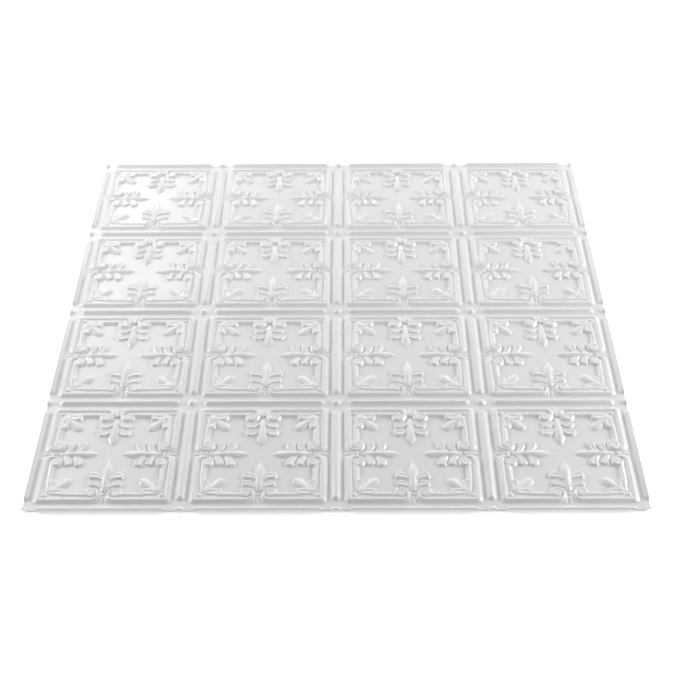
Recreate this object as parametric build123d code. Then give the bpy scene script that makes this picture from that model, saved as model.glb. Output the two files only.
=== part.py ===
from build123d import *
import os
from math import cos, pi, radians, sin

# Sheet, in millimetres
TILE_SIDE = 603.25  # nominal 2 ft lay-in tile, 23 3/4 in
CELLS = 4  # panels along each side
GAUGE = 0.7  # sheet thickness, measured upright

# Beads along the grid lines, with a button where they cross
BEAD_WIDTH = 11.5
BEAD_CREST = 3.6
BEAD_HEIGHT = 3.5
BEAD_GAP = 6.4  # flat web between a button and the end of a bead
BUTTON_WIDTH = 10.8
BUTTON_CREST = 5.2
BUTTON_HEIGHT = 3.1
BUTTON_SIDES = 8

# Ridge round each panel, whose arms turn in to a volute beside the middle of each side
GROOVE = 2.6  # flat web between a bead and the ridge
RIDGE_OUTER = 3.8  # run of the outer slope
RIDGE_CREST = 1.4
RIDGE_INNER = 5.5  # run of the inner slope
RIDGE_HEIGHT = 3.2
VOLUTE_SPREAD = 11.5  # from the middle of the panel's side
VOLUTE_SHIFT = 2.9  # from the line's crest towards the panel's centre
VOLUTE_CREST = 4.8  # radius of the coil's crest
VOLUTE_FOOT = 8.0  # radius of the coil's foot
VOLUTE_CURL = 120  # degrees over which the arm draws in to those radii
VOLUTE_CREST_TURNS = (0, 60, 130, 220, 290)  # degrees round the volute of its crest's corners
VOLUTE_FOOT_TURNS = (0, 50, 110, 180, 260)

# Line inside the ridge, with a valley between the two
LINE_SPACING = 6.6  # between the middles of the two crests
LINE_OUTER = 6.2
LINE_INNER = 4.6
LINE_HEIGHT = 2.9

# Palmette at the middle of each side, measured from the line's crest towards the panel's centre
STEM_START = 2.6  # the stem's knot reaches this far past the line
STEM_WIDTH = 4.8
STEM_HEIGHT = 2.3
LEAF_LENGTH = 45.6
LEAF_WIDTH = 12.0
LEAF_TIP = 5.0
LEAF_SHOULDER = 10.0  # from the tip to the widest place
LEAF_HEIGHT = 2.9
PETAL_HEIGHT = 2.8
PETAL_ROOT = 5.2
PETAL_SHOULDER = 8.6
PETAL_ROUND = 2.4
PETAL_SLOPE = 5.4
UPPER_PETAL_START = 20.7
UPPER_PETAL_WIDTH = 11.4
UPPER_PETAL_REACH = 17.8
LOWER_PETAL_START = 11.4
LOWER_PETAL_WIDTH = 9.2
LOWER_PETAL_REACH = 16.8

# Sprig of three leaves in each corner of a panel, measured from where the lines' crests cross
SPRIG_LENGTH = 29.8
SPRIG_WIDTH = 12.0
SPRIG_TIP = 3.0
SPRIG_SHOULDER = 10.0
SPRIG_HEIGHT = 2.3
SPRIG_ROOT = 5.0
SPRIG_ROOT_HEIGHT = 3.2
SIDE_LEAF_START = 6.0
SIDE_LEAF_LENGTH = 19.0
SIDE_LEAF_SHOULDER = 5.8
SIDE_LEAF_WIDTH = 10.0  # from the line's crest towards the panel's centre
SIDE_LEAF_CREST = 5.6

pitch = TILE_SIDE / CELLS
half = pitch / 2
ridge_foot = half - BEAD_WIDTH / 2 - GROOVE
ridge_middle = ridge_foot - RIDGE_OUTER - RIDGE_CREST / 2
line_middle = ridge_middle - LINE_SPACING
volute_middle = line_middle - VOLUTE_SHIFT


def boss(foot, crest):
    """A raised shape with flat facets from its foot on the web up to its crest."""
    return ConvexPolyhedron([*((x, y, 0) for x, y in foot), *crest])


def at_height(points, height):
    return [(x, y, height) for x, y in points]


def rectangle(length, width):
    return [(x * length / 2, y * width / 2) for x in (1, -1) for y in (1, -1)]


def ring(width, sides):
    """Corners of a regular outline, the first one on the X axis."""
    turns = [2 * pi * i / sides for i in range(sides)]
    return [(width / 2 * cos(turn), width / 2 * sin(turn)) for turn in turns]


def bead():
    """A bar along X with sloping sides and ends."""
    length = pitch - BUTTON_WIDTH - 2 * BEAD_GAP
    crest = rectangle(length - BEAD_WIDTH + BEAD_CREST, BEAD_CREST)
    return boss(rectangle(length, BEAD_WIDTH), at_height(crest, BEAD_HEIGHT))


def button():
    crest = ring(BUTTON_CREST, BUTTON_SIDES)
    return boss(ring(BUTTON_WIDTH, BUTTON_SIDES), at_height(crest, BUTTON_HEIGHT))


def frame(outer, top, low, inner, height):
    """Two arms of a moulding that meet in a panel's corner and end at the volutes."""
    end = VOLUTE_SPREAD
    foot = [(end, outer), (end, inner), (inner, inner), (outer, outer)]
    crest = {(end, top), (end, low), (low, low), (top, top)}
    arm = boss(foot, at_height(crest, height))
    return [arm, mirror(arm, Plane((0, 0, 0), z_dir=(1, -1, 0)))]


def ridge():
    top, low = ridge_middle + RIDGE_CREST / 2, ridge_middle - RIDGE_CREST / 2
    return frame(ridge_foot, top, low, low - RIDGE_INNER, RIDGE_HEIGHT)


def line():
    outer, inner = line_middle + LINE_OUTER, line_middle - LINE_INNER
    return frame(outer, line_middle, line_middle, inner, LINE_HEIGHT)


def coil(radius, arm, turns):
    """Corners of a spiral about the volute's centre, which starts on an arm of the ridge."""
    reaches = [radius + (arm - radius) * max(0, 1 - turn / VOLUTE_CURL) for turn in turns]
    angles = [radians(turn) for turn in turns]
    return [(-reach * sin(angle), reach * cos(angle)) for angle, reach in zip(angles, reaches)]


def volute():
    """The round head in which an arm of the ridge curls up."""
    arm = ridge_middle + RIDGE_CREST / 2 - volute_middle
    foot = coil(VOLUTE_FOOT, arm + RIDGE_OUTER, VOLUTE_FOOT_TURNS)
    crest = coil(VOLUTE_CREST, arm, VOLUTE_CREST_TURNS)
    return Pos(VOLUTE_SPREAD, volute_middle) * boss(foot, at_height(crest, RIDGE_HEIGHT))


def leaf(length, shoulder, widths, crease):
    """A creased leaf along X, with its widths at the stalk, the shoulder and the tip."""
    places = zip((0, length - shoulder, length), widths)
    foot = [(x, side * width / 2) for x, width in places for side in (1, -1)]
    return boss(foot, [(x, 0, z) for x, z in crease])


def petal(start, width, reach):
    """A lobe beside the stem, from its root out to a blunt end."""
    top = start + width
    outer = [(reach, top - PETAL_ROUND), (reach - PETAL_ROUND, start)]
    foot = [(PETAL_ROOT, start), (PETAL_SHOULDER, top), *outer]
    return boss(foot, [(reach - PETAL_SLOPE, start + width / 2, PETAL_HEIGHT)])


def palmette():
    """Leaf and petals, growing along Y from the line."""
    crease = (STEM_START, STEM_HEIGHT), (LEAF_LENGTH - LEAF_SHOULDER, LEAF_HEIGHT)
    blade = leaf(LEAF_LENGTH, LEAF_SHOULDER, (STEM_WIDTH, LEAF_WIDTH, LEAF_TIP), crease)
    petals = [
        petal(UPPER_PETAL_START, UPPER_PETAL_WIDTH, UPPER_PETAL_REACH),
        petal(LOWER_PETAL_START, LOWER_PETAL_WIDTH, LOWER_PETAL_REACH),
    ]
    petals += [mirror(lobe, Plane.YZ) for lobe in petals]
    return [Pos(0, -STEM_START) * Rot(0, 0, 90) * blade, *petals]


def side_leaf():
    """Half a leaf along X, which bulges from the line's crest."""
    tip = SIDE_LEAF_START + SIDE_LEAF_LENGTH
    shoulder = tip - SIDE_LEAF_SHOULDER
    foot = [(SIDE_LEAF_START, 0), (tip, 0), (shoulder, SIDE_LEAF_WIDTH)]
    crest = [(shoulder, 0), (shoulder, SIDE_LEAF_CREST)]
    return boss(foot, at_height(crest, LINE_HEIGHT))


def sprig():
    """Three leaves that fan out of a panel's corner, along -X, -Y and the diagonal."""
    crease = (SPRIG_ROOT, SPRIG_ROOT_HEIGHT), (SPRIG_LENGTH - SPRIG_SHOULDER, SPRIG_HEIGHT)
    middle = leaf(SPRIG_LENGTH, SPRIG_SHOULDER, (SPRIG_ROOT, SPRIG_WIDTH, SPRIG_TIP), crease)
    flank = Rot(0, 0, 180) * side_leaf()
    other = mirror(flank, Plane((0, 0, 0), z_dir=(1, -1, 0)))
    return [Rot(0, 0, 225) * middle, flank, other]


def form(margin, ornament):
    """Everything under one face of a cell, down to well below the flat web."""
    side = pitch + 2 * margin
    web = Box(side, side, BEAD_HEIGHT, align=(Align.CENTER, Align.CENTER, Align.MAX))
    quarter = [Pos(0, half) * bead(), Pos(half, half) * button(), *ridge(), *line()]
    if ornament:
        quarter += [volute(), mirror(volute(), Plane.YZ)]
        quarter += [Pos(0, line_middle) * Rot(0, 0, 180) * piece for piece in palmette()]
        quarter += [Pos(line_middle, line_middle) * piece for piece in sprig()]
    raised = [Rot(0, 0, 90 * turn) * piece for turn in range(4) for piece in quarter]
    return web.fuse(*raised)


def cell():
    """One panel of the formed sheet, cut along the crests of its beads."""
    front = Pos(0, 0, GAUGE) * form(BEAD_WIDTH, True)
    back = form(2 * BEAD_WIDTH, False)
    return (front - back) & Box(pitch, pitch, 4 * BEAD_HEIGHT)


def tile():
    one = cell()
    places = [half + pitch * i - TILE_SIDE / 2 for i in range(CELLS)]
    row = [Pos(x, 0) * one for x in places]
    strip = row[0].fuse(*row[1:])
    strips = [Pos(0, y) * strip for y in places]
    return strips[0].fuse(*strips[1:])


os.makedirs("parts", exist_ok=True)
export_step(tile(), "parts/ceiling_tile.step")
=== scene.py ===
"""A white PVC ceiling tile, lying face up: the formed sheet with its full relief."""
from math import pi, radians

import bpy
import numpy as np
from mathutils import Matrix, Vector


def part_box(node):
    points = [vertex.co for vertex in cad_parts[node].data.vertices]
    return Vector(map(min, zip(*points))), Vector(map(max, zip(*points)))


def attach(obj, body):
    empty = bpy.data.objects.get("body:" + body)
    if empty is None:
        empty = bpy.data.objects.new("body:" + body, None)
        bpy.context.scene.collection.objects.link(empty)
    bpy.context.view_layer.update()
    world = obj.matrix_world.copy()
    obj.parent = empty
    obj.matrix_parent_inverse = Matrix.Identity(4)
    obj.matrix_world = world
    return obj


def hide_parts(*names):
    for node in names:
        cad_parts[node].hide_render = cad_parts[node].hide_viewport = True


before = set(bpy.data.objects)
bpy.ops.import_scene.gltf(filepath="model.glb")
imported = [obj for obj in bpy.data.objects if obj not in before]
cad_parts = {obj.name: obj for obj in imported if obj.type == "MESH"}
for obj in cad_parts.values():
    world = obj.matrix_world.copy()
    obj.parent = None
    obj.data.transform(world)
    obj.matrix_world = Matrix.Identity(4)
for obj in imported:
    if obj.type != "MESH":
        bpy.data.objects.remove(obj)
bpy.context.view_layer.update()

# Sheet, in millimetres
LOW, HIGH = (1000 * np.array(corner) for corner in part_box("ceiling_tile"))
CELLS = 4
HALF = (HIGH[0] - LOW[0]) / CELLS / 2
GAUGE = 0.7

# Beads along the grid lines and the buttons where they cross, in millimetres
BEAD_HEIGHT, BEAD_HALF = 3.5, 5.9
BEAD_END = 17.0  # from a crossing to the end of the bead's axis
BUTTON_HEIGHT, BUTTON_RADIUS, BUTTON_SLOPE = 3.1, 5.8, 4.4

# Ridge round a panel and its volutes. Places are measured from the panel's centre
RIDGE_HEIGHT, RIDGE_PLACE, RIDGE_CORNER = 3.2, 62.5, 2.4
RIDGE_OUTER, RIDGE_INNER = 5.4, 5.0
VOLUTE_U, VOLUTE_V = 11.5, 53.0
VOLUTE_RADIUS = 4.5
VOLUTE_OUTER, VOLUTE_INNER = 3.4, 2.7
TAIL_HEIGHT, TAIL_HALF = 2.9, 2.2
TAIL_TURN = 1.5 * pi  # over which the tail winds to the volute's centre
EYE_HEIGHT, EYE_RADIUS, EYE_SLOPE = 2.5, 6.8, 3.2

# What is added where the arm runs into the volute, and the turn in radians over which it fades
COIL_DRAW, COIL_FADE = 5.0, 1.35
OUTER_DRAW, OUTER_FADE = 2.0, 1.2
INNER_DRAW, TAIL_DRAW, INNER_FADE = 2.3, 1.2, 0.7

# Line inside the ridge, and the step between the two
LINE_HEIGHT, LINE_HALF, LINE_PLACE = 2.9, 4.5, 55.9
LINE_START, LINE_END = 14.0, 39.0
STEP_HEIGHT, STEP_INNER, STEP_OUTER, STEP_START = 1.5, 51.5, 67.5, 11.0
STEP_SLOPE, STEP_OUTER_SLOPE = 4, 5

# Palmette and sprig
LEAF_TIP, LEAF_FOOT = 12.0, 51.0
RIM_HEIGHT, RIM_RUN, VEIN_START = 0.6, 0.5, 0.35  # shares of a leaf's height and half width
UPPER_LOBE_HEIGHT, LOWER_LOBE_HEIGHT = 2.5, 2.4
LOBE_ROOT, LOBE_RISE = 0.7, 0.3  # shares of the height at the root and gained further out
LOBE_RISE_START, LOBE_RISE_RUN = 3, 8
LOBE_RIM, LOBE_FURROW, LOBE_FURROW_HALF = 0.55, 0.42, 0.62  # shares of the half width or height
LOBE_FURROW_END = 5.0
THINNEST = 0.05
SPRIG_TIP, SPRIG_FOOT = 48.4, 76.0  # along the diagonal
SIDE_LEAF_TIP, SIDE_LEAF_FOOT, SIDE_LEAF_HEIGHT = 35.6, 53.0, 2.9
SIDE_LEAF_RIM, SIDE_LEAF_FURROW, SIDE_LEAF_FURROW_HALF = 0.5, 0.36, 0.55
SIDE_LEAF_FURROW_START, SIDE_LEAF_FURROW_RUN = 38.0, 5
BUD_HEIGHT, BUD_RADIUS, BUD_SLOPE, BUD_PLACE = 3.2, 4.2, 3.2, 57.0
ROOT_HEIGHT, ROOT_RADIUS, ROOT_SLOPE, ROOT_PLACE = 3.3, 6.8, 5.6, 50.6
KNOT_HEIGHT, KNOT_RADIUS, KNOT_SLOPE, KNOT_PLACE = 2.5, 3.3, 2.2, 55.2
FLUTES = ((0, 58.5), (0, 65.0)), ((2.3, 58.5), (5.2, 64.4))
FLUTE_HEIGHT, FLUTE_FALL = 1.9, 0.4
FLUTE_HALF, FLUTE_FLARE = 2.1, 0.5
BLEND, SOFT_BLEND = 0.3, 0.4  # reach of the filled valley where two shapes meet

# Mesh: fine grid over a quarter of a cell, thinned for the face and again for the back
GRID = 303
ROUNDING = 0.5
FACE_TRIANGLES = 2250
BACK_TRIANGLES = 780
ON_EDGE = 0.001  # nearer than this to the tile's edge is on it
SNAP = 0.02  # nearer than this to a side of the quarter is moved onto it
LEVEL, LEVEL_SIZE = 0.9995, 3.0  # cosine and twice the area of a triangle that counts as flat

# White PVC: each noise has a scale and a detail, and the bumps a depth in metres
CLOUD, CLOUD_DARK, CLOUD_LIGHT = (9.0, 4.0), (0.745, 0.750, 0.750, 1), (0.775, 0.775, 0.770, 1)
GLOSS, GLOSSIEST, DULLEST = (14.0, 3.0), 0.21, 0.28
PULL, PULL_DEPTH = (11.0, 1.0), 0.0012
SKIN, SKIN_DEPTH = (900.0, 2.0), 0.00002
PVC_IOR = 1.53
NOISE_LOW, NOISE_HIGH = 0.3, 0.7  # between which nearly all of a noise lies

# Studio, in metres and watts: each lamp's place, aim, width, depth and power
LAMPS = {
    "right": ((1.35, 0.0, 0.55), (0, -0.05, 0), 1.2, 0.5, 18.0),
    "left": ((-1.35, 0.2, 0.55), (0, 0.05, 0), 1.2, 0.5, 11.5),
    "far": ((0, 1.6, 0.55), (0, 0, 0), 1.6, 0.4, 5.5),
    "front": ((0.2, -1.7, 0.8), (0, 0, 0), 1.4, 0.5, 1.0),
    "corner": ((-0.5, 0.35, 1.0), (-0.25, 0.2, 0), 0.5, 0.5, 2.0),
    "sheen": ((-0.95, 1.78, 1.2), (-0.2, 0.1, 0), 1.1, 0.8, 8.5),
}
WORLD_LIGHT = 0.19
FLOOR_REACH, FLOOR_DROP = 4.0, 0.0001
FLOOR_COLOUR = (0.88, 0.88, 0.88, 1)
FLOOR_LIFT = 0.38  # emission that the camera sees beside the tile, rising to 1 further out
LIFT_START, LIFT_END = 0.4, 1.0
WHITE = (1, 1, 1, 1)

# Camera, in metres and degrees, for a square picture on a 36 mm sensor
CAMERA_PLACE = (0.01292, -1.17204, 0.95407)
CAMERA_YAW, CAMERA_PITCH, CAMERA_ROLL = 0.635, 40.221, -0.571
CAMERA_LENS, CAMERA_SENSOR = 71.28, 36.0


# Shapes of the relief. A cell is folded to an eighth: v runs from its centre to the nearest
# side, u along that side from its middle.


def ease(t):
    t = np.clip(t, 0, 1)
    return t * t * (3 - 2 * t)


def smooth_max(a, b, blend):
    """Higher of two heights with their valley filled, and nothing added on the web."""
    share = np.clip(0.5 + 0.5 * (a - b) / blend, 0, 1)
    fill = blend * share * (1 - share) * ease(np.maximum(a, b) / blend)
    return b * (1 - share) + a * share + fill


def bell(distance, half_width):
    return 0.5 + 0.5 * np.cos(pi * np.clip(distance / half_width, 0, 1))


def curve(at, stations, values):
    """Smooth line through the values at the stations, level beyond both ends."""
    stations, values = np.array(stations, float), np.array(values, float)
    slopes = np.gradient(values, stations)
    i = np.clip(np.searchsorted(stations, at) - 1, 0, len(stations) - 2)
    span = stations[i + 1] - stations[i]
    t = np.clip((at - stations[i]) / span, 0, 1)
    begin = (1 - t) ** 2 * ((1 + 2 * t) * values[i] + t * span * slopes[i])
    return begin + t**2 * ((3 - 2 * t) * values[i + 1] - (1 - t) * span * slopes[i + 1])


def from_segment(u, v, start, end):
    """Distance from a segment, and how far along it."""
    du, dv = end[0] - start[0], end[1] - start[1]
    along = np.clip(((u - start[0]) * du + (v - start[1]) * dv) / (du**2 + dv**2), 0, 1)
    return np.hypot(u - start[0] - along * du, v - start[1] - along * dv), along


def across(offset, outer_half, inner_half):
    """Rounded section across a ridge whose two sides differ in width."""
    return np.where(offset > 0, bell(offset, outer_half), bell(-offset, inner_half))


def beads(u, v):
    """Bar along the grid line, and the button where two lines cross."""
    distance, _ = from_segment(u, v, (0, HALF), (HALF - BEAD_END, HALF))
    from_crossing = np.hypot(u - HALF, v - HALF)
    button = BUTTON_HEIGHT * ease((BUTTON_RADIUS - from_crossing) / BUTTON_SLOPE)
    return np.maximum(BEAD_HEIGHT * bell(distance, BEAD_HALF), button)


def frame_ridge(u, v):
    """Ridge round the panel, whose arm curls into a volute near the middle of the side."""
    over_u, over_v = u - RIDGE_PLACE + RIDGE_CORNER, v - RIDGE_PLACE + RIDGE_CORNER
    outside = np.hypot(np.maximum(over_u, 0), np.maximum(over_v, 0))
    offset = np.minimum(np.maximum(over_u, over_v), 0) + outside - RIDGE_CORNER
    arm = np.where(u > VOLUTE_U, RIDGE_HEIGHT * across(offset, RIDGE_OUTER, RIDGE_INNER), 0)

    radius = np.hypot(u - VOLUTE_U, v - VOLUTE_V)
    turn = np.arctan2(VOLUTE_U - u, v - VOLUTE_V) % (2 * pi)
    near_arm = np.exp(-((turn / INNER_FADE) ** 2))
    line = VOLUTE_RADIUS + COIL_DRAW * np.exp(-((turn / COIL_FADE) ** 2))
    outer_half = VOLUTE_OUTER + OUTER_DRAW * np.exp(-((turn / OUTER_FADE) ** 2))
    coil = RIDGE_HEIGHT * across(radius - line, outer_half, VOLUTE_INNER + INNER_DRAW * near_arm)
    wound = radius - VOLUTE_RADIUS * (1 - turn / TAIL_TURN)
    tail = TAIL_HEIGHT * across(wound, TAIL_HALF + TAIL_DRAW * near_arm, TAIL_HALF)
    tail = np.where(turn < TAIL_TURN, tail, 0)
    eye = smooth_max(tail, EYE_HEIGHT * ease((EYE_RADIUS - radius) / EYE_SLOPE), SOFT_BLEND)
    return smooth_max(smooth_max(arm, coil, BLEND), eye, BLEND)


def thin_line(u, v):
    """Line inside the ridge, from the volute to the side leaf."""
    distance, _ = from_segment(u, v, (LINE_START, LINE_PLACE), (LINE_END, LINE_PLACE))
    between = ease((v - STEP_INNER) / STEP_SLOPE) * ease((STEP_OUTER - v) / STEP_OUTER_SLOPE)
    between = between * ease((u - STEP_START) / STEP_SLOPE)
    return np.maximum(LINE_HEIGHT * bell(distance, LINE_HALF), STEP_HEIGHT * between)


def creased(t):
    """Leaf section: a steep rim where t is 0, a flat, and a vein where t is 1."""
    vein = np.clip((t - VEIN_START) / (1 - VEIN_START), 0, 1)
    return RIM_HEIGHT * ease(t / RIM_RUN) + (1 - RIM_HEIGHT) * vein


def central_leaf(u, v):
    """Long creased leaf that points to the panel's centre, with the stem it grows from."""
    stations = [LEAF_TIP, 13.6, 15.5, 18.5, 22.0, 26.0, 30.0, 36.0, 42.0, LEAF_FOOT]
    half_width = curve(v, stations, [0.2, 1.6, 3.1, 4.9, 5.9, 5.7, 4.9, 4.2, 3.8, 3.4])
    stations = [LEAF_TIP, 16.0, 20.0, 26.0, 33.0, 41.0, LEAF_FOOT]
    height = curve(v, stations, [0.8, 1.9, 2.5, 3.1, 3.2, 2.5, 1.9])
    leaf = height * creased(np.clip(1 - u / half_width, 0, 1))
    return np.where((v > LEAF_TIP) & (v < LEAF_FOOT), leaf, 0)


def lobe(u, v, spine, widths, height):
    """Lobe beside the stem: two ridges that meet round a furrow at its outer end."""
    middle = curve(u, *spine)
    half_width = np.maximum(curve(u, *widths), THINNEST)
    reach = widths[0][-1]
    t = np.abs(v - middle) / half_width
    furrow = LOBE_FURROW * bell(t, LOBE_FURROW_HALF) * ease((reach - u) / LOBE_FURROW_END)
    top = height * (LOBE_ROOT + LOBE_RISE * ease((u - LOBE_RISE_START) / LOBE_RISE_RUN))
    return np.where(u < reach, top * ease((1 - t) / LOBE_RIM) * (1 - furrow), 0)


def upper_lobe(u, v):
    spine = [2.0, 6.0, 10.0, 13.0, 17.0], [34.4, 31.4, 29.7, 29.5, 31.0]
    widths = [2.0, 6.0, 10.0, 13.0, 15.8, 17.4], [3.2, 4.4, 5.3, 5.5, 4.4, 0.3]
    return lobe(u, v, spine, widths, UPPER_LOBE_HEIGHT)


def lower_lobe(u, v):
    spine = [2.0, 6.0, 10.0, 12.5, 16.0], [44.8, 42.0, 40.4, 40.2, 41.8]
    widths = [2.0, 6.0, 10.0, 12.5, 15.0, 16.4], [3.0, 4.0, 4.8, 4.9, 3.8, 0.3]
    return lobe(u, v, spine, widths, LOWER_LOBE_HEIGHT)


def diagonal_leaf(u, v):
    along, aside = (u + v) / np.sqrt(2), np.abs(v - u) / np.sqrt(2)
    stations = [SPRIG_TIP, 49.4, 52.0, 55.5, 59.5, 63.0, 67.0, 72.0, SPRIG_FOOT]
    half_width = curve(along, stations, [0.4, 3.2, 5.8, 6.9, 6.7, 5.6, 4.2, 3.4, 3.0])
    stations = [SPRIG_TIP, 52.0, 58.0, 64.0, 70.0, SPRIG_FOOT]
    height = curve(along, stations, [1.2, 2.3, 2.8, 2.9, 3.2, 2.0])
    leaf = height * creased(np.clip(1 - aside / half_width, 0, 1))
    return np.where((along > SPRIG_TIP) & (along < SPRIG_FOOT), leaf, 0)


def side_leaf(u, v):
    middle = curve(u, [32.0, 36.0, 40.0, 46.0, 52.0], [54.2, 53.0, 52.4, 52.4, 53.2])
    stations = [SIDE_LEAF_TIP, 36.4, 38.6, 42.0, 45.5, 49.0, SIDE_LEAF_FOOT]
    half_width = curve(u, stations, [0.8, 3.8, 5.7, 6.1, 5.4, 4.4, 3.4])
    t = np.abs(v - middle) / half_width
    furrow = SIDE_LEAF_FURROW * bell(t, SIDE_LEAF_FURROW_HALF)
    furrow = furrow * ease((u - SIDE_LEAF_FURROW_START) / SIDE_LEAF_FURROW_RUN)
    side = SIDE_LEAF_HEIGHT * ease((1 - t) / SIDE_LEAF_RIM) * (1 - furrow)
    return np.where((u > SIDE_LEAF_TIP) & (u < SIDE_LEAF_FOOT), side, 0)


def sprig(u, v):
    """Leaf on the diagonal, leaves to both sides of it, and a bud and a root where they meet."""
    bud = BUD_HEIGHT * ease((BUD_RADIUS - np.hypot(u - BUD_PLACE, v - BUD_PLACE)) / BUD_SLOPE)
    root = ROOT_HEIGHT * ease((ROOT_RADIUS - np.hypot(u - ROOT_PLACE, v - ROOT_PLACE)) / ROOT_SLOPE)
    leaves = smooth_max(diagonal_leaf(u, v), side_leaf(u, v), SOFT_BLEND)
    return smooth_max(leaves, np.maximum(bud, root), SOFT_BLEND)


def knot_and_fan(u, v):
    """Round knot under the leaf's stem, and three flutes spreading from it over the opening."""
    z = KNOT_HEIGHT * ease((KNOT_RADIUS - np.hypot(u, v - KNOT_PLACE)) / KNOT_SLOPE)
    for start, end in FLUTES:
        distance, along = from_segment(u, v, start, end)
        flute = bell(distance, FLUTE_HALF + FLUTE_FLARE * along)
        z = np.maximum(z, (FLUTE_HEIGHT - FLUTE_FALL * along) * flute)
    return z


def sharp_relief(x, y):
    """Height above the flat web at points of one quarter cell, before the sheet rounds it."""
    u, v = np.minimum(x, y), np.maximum(x, y)
    z = smooth_max(beads(u, v), frame_ridge(u, v), BLEND)
    z = smooth_max(z, thin_line(u, v), SOFT_BLEND)
    z = smooth_max(z, np.maximum(upper_lobe(u, v), lower_lobe(u, v)), BLEND)
    for ornament in (central_leaf, sprig, knot_and_fan):
        z = smooth_max(z, ornament(u, v), BLEND)
    return z


def rounded(z, step):
    """Soften a quarter cell's heights as a formed sheet does, mirrored at its sides."""
    reach = int(3 * ROUNDING / step)
    weights = np.exp(-0.5 * (np.arange(-reach, reach + 1) * step / ROUNDING) ** 2)
    weights /= weights.sum()
    for axis in (0, 1):
        padded = np.pad(z, [(reach, reach) if axis == a else (0, 0) for a in (0, 1)], mode="reflect")
        z = np.apply_along_axis(np.convolve, axis, padded, weights, mode="valid")
    return z


AXIS = np.linspace(0, HALF, GRID)
HEIGHTS = rounded(sharp_relief(*np.meshgrid(AXIS, AXIS)), AXIS[1])
RISE_Y, RISE_X = np.gradient(HEIGHTS, AXIS[1])


def read_grid(grid, x, y):
    """Value of a quarter cell's grid at points inside it."""
    column, row = (np.clip(c / AXIS[1], 0, GRID - 1.001) for c in (x, y))
    i, j = row.astype(int), column.astype(int)
    down, along = row - i, column - j
    near = grid[i, j] * (1 - along) + grid[i, j + 1] * along
    far = grid[i + 1, j] * (1 - along) + grid[i + 1, j + 1] * along
    return near * (1 - down) + far * down


def relief(x, y):
    return read_grid(HEIGHTS, x, y)


# Mesh


def new_object(name, points, faces):
    mesh = bpy.data.meshes.new(name)
    mesh.from_pydata(points, [], faces)
    obj = bpy.data.objects.new(name, mesh)
    bpy.context.scene.collection.objects.link(obj)
    return obj


def thinned(points, faces, triangles, keep_edges):
    """Collapse a quarter cell to a number of triangles, its sides kept straight."""
    obj = new_object("quarter", points.tolist(), faces.tolist())
    modifier = obj.modifiers.new("thin", "DECIMATE")
    modifier.use_collapse_triangulate = True
    modifier.ratio = triangles / (len(faces) * (faces.shape[1] - 2))
    if keep_edges:
        group = obj.vertex_groups.new(name="inside")
        inside = ((points[:, :2] > 0) & (points[:, :2] < HALF)).all(1)
        group.add(np.flatnonzero(inside).tolist(), 1.0, "REPLACE")
        modifier.vertex_group = group.name
        modifier.vertex_group_factor = 1000.0
    mesh = obj.evaluated_get(bpy.context.evaluated_depsgraph_get()).data
    mesh.calc_loop_triangles()
    corners = np.empty(3 * len(mesh.loop_triangles), int)
    mesh.loop_triangles.foreach_get("vertices", corners)
    places = np.empty(3 * len(mesh.vertices))
    mesh.vertices.foreach_get("co", places)
    bpy.data.objects.remove(obj)
    places = places.reshape(-1, 3)
    for side in (0, HALF):
        plan = places[:, :2]
        plan[np.abs(plan - side) < SNAP] = side
    places[:, 2] = relief(places[:, 0], places[:, 1])
    return places, corners.reshape(-1, 3)


def quarter_meshes():
    """Face and back of a quarter cell, with the same points along its sides."""
    x, y = (axis.ravel() for axis in np.meshgrid(AXIS, AXIS))
    points = np.column_stack([x, y, HEIGHTS.ravel()])
    first = (np.arange(GRID - 1)[:, None] * GRID + np.arange(GRID - 1)).ravel()
    faces = np.column_stack([first, first + 1, first + GRID + 1, first + GRID])
    face = thinned(points, faces, FACE_TRIANGLES, False)
    return face, thinned(*face, BACK_TRIANGLES, True)


def spread(points, faces):
    """Mirror a quarter over its cell and over the whole tile, with shared points merged."""
    all_points, all_faces = [], []
    for row in range(2 * CELLS):
        for column in range(2 * CELLS):
            placed = points.copy()
            for axis, quarter in enumerate((column, row)):
                reach = placed[:, axis]
                placed[:, axis] = quarter * HALF + reach if quarter % 2 else (quarter + 1) * HALF - reach
            turned = faces[:, ::-1] if column % 2 != row % 2 else faces
            all_faces.append(turned + len(points) * len(all_points))
            all_points.append(placed)
    all_points = np.concatenate(all_points)
    plan = np.round(all_points[:, :2], 3)
    _, kept, merged = np.unique(plan, axis=0, return_index=True, return_inverse=True)
    return all_points[kept], merged.ravel()[np.concatenate(all_faces)]


def slopes(points):
    """Unit normals of the relief at points of the tile."""
    from_centre = points[:, :2] % (2 * HALF) - HALF
    x, y = np.abs(from_centre).T
    rise = np.column_stack([read_grid(RISE_X, x, y), read_grid(RISE_Y, x, y)]) * np.sign(from_centre)
    normals = np.column_stack([-rise, np.ones(len(points))])
    return normals / np.linalg.norm(normals, axis=1, keepdims=True)


def lay_flats(normals, points, faces):
    """Point the normals at the corners of large level triangles straight up."""
    a, b, c = (points[faces[:, i]] for i in range(3))
    cross = np.cross(b - a, c - a)
    size = np.linalg.norm(cross, axis=1)
    level = (np.abs(cross[:, 2]) > LEVEL * size) & (size > LEVEL_SIZE)
    normals[np.unique(faces[level])] = (0, 0, 1)
    return normals


def rim_faces(points, back_of):
    """Quads between the face and the back all round the tile's edge."""
    side = 2 * HALF * CELLS
    quads = []
    for axis, edge, backwards in ((1, 0, False), (0, side, False), (1, side, True), (0, 0, True)):
        on_edge = np.flatnonzero(np.abs(points[:, axis] - edge) < ON_EDGE)
        run = on_edge[np.argsort(points[on_edge, 1 - axis])]
        run = run[::-1] if backwards else run
        quads += [(back_of[p], back_of[q], q, p) for p, q in zip(run, run[1:])]
    return quads


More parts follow.
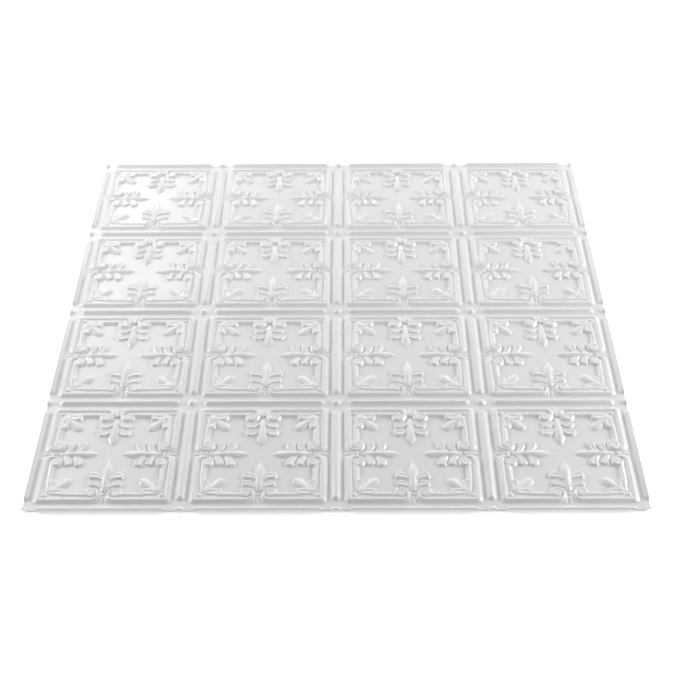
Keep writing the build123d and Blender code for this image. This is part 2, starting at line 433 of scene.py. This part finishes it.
def sheet():
    """The formed sheet as one closed mesh, in metres."""
    (face, face_tris), (back, back_tris) = quarter_meshes()
    face, face_tris = spread(face, face_tris)
    back, back_tris = spread(back, back_tris)
    face_normals = lay_flats(slopes(face), face, face_tris)
    back_normals = -lay_flats(slopes(back), back, back_tris)

    key = {tuple(place): i + len(face) for i, place in enumerate(np.round(back[:, :2], 3).tolist())}
    plan, side = face[:, :2], 2 * HALF * CELLS
    edge = np.flatnonzero(((plan < ON_EDGE) | (plan > side - ON_EDGE)).any(1))
    back_of = {i: key[tuple(np.round(face[i, :2], 3).tolist())] for i in edge.tolist()}
    quads = rim_faces(face, back_of)

    face = face + (0, 0, GAUGE)
    points = (np.concatenate([face, back]) + LOW * (1, 1, 0)) / 1000
    faces = face_tris.tolist() + (back_tris[:, ::-1] + len(face)).tolist() + quads
    tile = new_object("formed_sheet", points.tolist(), faces)
    mesh = tile.data
    mesh.shade_smooth()
    corners = [face_normals[face_tris.ravel()], back_normals[back_tris[:, ::-1].ravel()]]
    plain = [mesh.polygons[i].normal for i in range(len(face_tris) + len(back_tris), len(faces))]
    corners.append(np.repeat(np.array(plain), 4, axis=0))
    mesh.normals_split_custom_set(np.concatenate(corners).tolist())
    return tile


# Materials


def node_tree(owner):
    owner.use_nodes = True
    return owner.node_tree.nodes, owner.node_tree.links


def noise(nodes, links, place, scale, detail):
    node = nodes.new("ShaderNodeTexNoise")
    node.inputs["Scale"].default_value = scale
    node.inputs["Detail"].default_value = detail
    links.new(place, node.inputs["Vector"])
    return node.outputs["Fac"]


def ramp(nodes, links, source, start, end, low, high):
    """Run from low to high while the source runs from start to end."""
    node = nodes.new("ShaderNodeMapRange")
    node.inputs["From Min"].default_value, node.inputs["From Max"].default_value = start, end
    node.inputs["To Min"].default_value, node.inputs["To Max"].default_value = low, high
    links.new(source, node.inputs["Value"])
    return node.outputs["Result"]


def seen_directly(nodes, links):
    """1 for rays from the camera or off a glossy surface, and 0 for the rays that light the scene."""
    rays = nodes.new("ShaderNodeLightPath")
    either = nodes.new("ShaderNodeMath")
    either.operation = "MAXIMUM"
    links.new(rays.outputs["Is Camera Ray"], either.inputs[0])
    links.new(rays.outputs["Is Glossy Ray"], either.inputs[1])
    return either.outputs[0]


def bump(nodes, links, source, depth, before=None):
    node = nodes.new("ShaderNodeBump")
    node.inputs["Distance"].default_value = depth
    links.new(source, node.inputs["Height"])
    if before:
        links.new(before, node.inputs["Normal"])
    return node.outputs["Normal"]


def white_pvc():
    """Glossy white sheet: slight cloudiness, a soft pull in the flats and a fine skin."""
    material = bpy.data.materials.new("white_pvc_gloss")
    nodes, links = node_tree(material)
    shader = nodes["Principled BSDF"]
    place = nodes.new("ShaderNodeTexCoord").outputs["Object"]

    cloud = noise(nodes, links, place, *CLOUD)
    colour = nodes.new("ShaderNodeValToRGB")
    dark, light = colour.color_ramp.elements
    dark.position, light.position = NOISE_LOW, NOISE_HIGH
    dark.color, light.color = CLOUD_DARK, CLOUD_LIGHT
    links.new(cloud, colour.inputs["Fac"])
    links.new(colour.outputs["Color"], shader.inputs["Base Color"])

    patches = noise(nodes, links, place, *GLOSS)
    gloss = ramp(nodes, links, patches, NOISE_LOW, NOISE_HIGH, GLOSSIEST, DULLEST)
    links.new(gloss, shader.inputs["Roughness"])
    shader.inputs["IOR"].default_value = PVC_IOR

    pull = bump(nodes, links, noise(nodes, links, place, *PULL), PULL_DEPTH)
    skin = bump(nodes, links, noise(nodes, links, place, *SKIN), SKIN_DEPTH, pull)
    links.new(skin, shader.inputs["Normal"])
    return material


def studio_floor():
    """Pale floor that the camera sees as white, apart from the shadow near the tile."""
    corners = [(-1, -1), (1, -1), (1, 1), (-1, 1)]
    corners = [(x * FLOOR_REACH, y * FLOOR_REACH, 0) for x, y in corners]
    floor = new_object("studio_floor", corners, [(0, 1, 2, 3)])
    floor.location.z = -FLOOR_DROP
    material = bpy.data.materials.new("studio_floor_white")
    nodes, links = node_tree(material)
    shader = nodes["Principled BSDF"]
    shader.inputs["Base Color"].default_value = FLOOR_COLOUR
    shader.inputs["Roughness"].default_value = 1.0
    shader.inputs["Specular IOR Level"].default_value = 0.0
    shader.inputs["Emission Color"].default_value = WHITE
    distance = nodes.new("ShaderNodeVectorMath")
    distance.operation = "LENGTH"
    links.new(nodes.new("ShaderNodeTexCoord").outputs["Object"], distance.inputs[0])
    lift = nodes.new("ShaderNodeMath")
    lift.operation = "MULTIPLY"
    outward = ramp(nodes, links, distance.outputs["Value"], LIFT_START, LIFT_END, FLOOR_LIFT, 1)
    links.new(outward, lift.inputs[0])
    links.new(seen_directly(nodes, links), lift.inputs[1])
    links.new(lift.outputs[0], shader.inputs["Emission Strength"])
    floor.data.materials.append(material)


# Light and camera


def soft_box(name, place, aim, width, depth, power):
    lamp = bpy.data.lights.new(name, "AREA")
    lamp.shape = "RECTANGLE"
    lamp.size, lamp.size_y = width, depth
    lamp.energy = power
    obj = bpy.data.objects.new(name, lamp)
    bpy.context.scene.collection.objects.link(obj)
    obj.location = place
    obj.rotation_euler = (Vector(aim) - Vector(place)).to_track_quat("-Z", "Y").to_euler()


def studio_light():
    for name, lamp in LAMPS.items():
        soft_box(name, *lamp)
    world = bpy.data.worlds.new("studio")
    nodes, links = node_tree(world)
    nodes["Background"].inputs["Color"].default_value = WHITE
    strength = ramp(nodes, links, seen_directly(nodes, links), 0, 1, WORLD_LIGHT, 1)
    links.new(strength, nodes["Background"].inputs["Strength"])
    bpy.context.scene.world = world


def camera():
    data = bpy.data.cameras.new("camera")
    data.sensor_width = CAMERA_SENSOR
    data.lens = CAMERA_LENS
    obj = bpy.data.objects.new("camera", data)
    bpy.context.scene.collection.objects.link(obj)
    obj.matrix_world = Matrix.Translation(CAMERA_PLACE)
    for angle, axis in ((CAMERA_YAW, "Z"), (90 - CAMERA_PITCH, "X"), (CAMERA_ROLL, "Z")):
        obj.matrix_world = obj.matrix_world @ Matrix.Rotation(radians(angle), 4, axis)
    bpy.context.scene.camera = obj


tile = sheet()
tile.data.materials.append(white_pvc())
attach(tile, "root")
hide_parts("ceiling_tile")
studio_floor()
studio_light()
camera()
bpy.context.scene.view_settings.view_transform = "Standard"
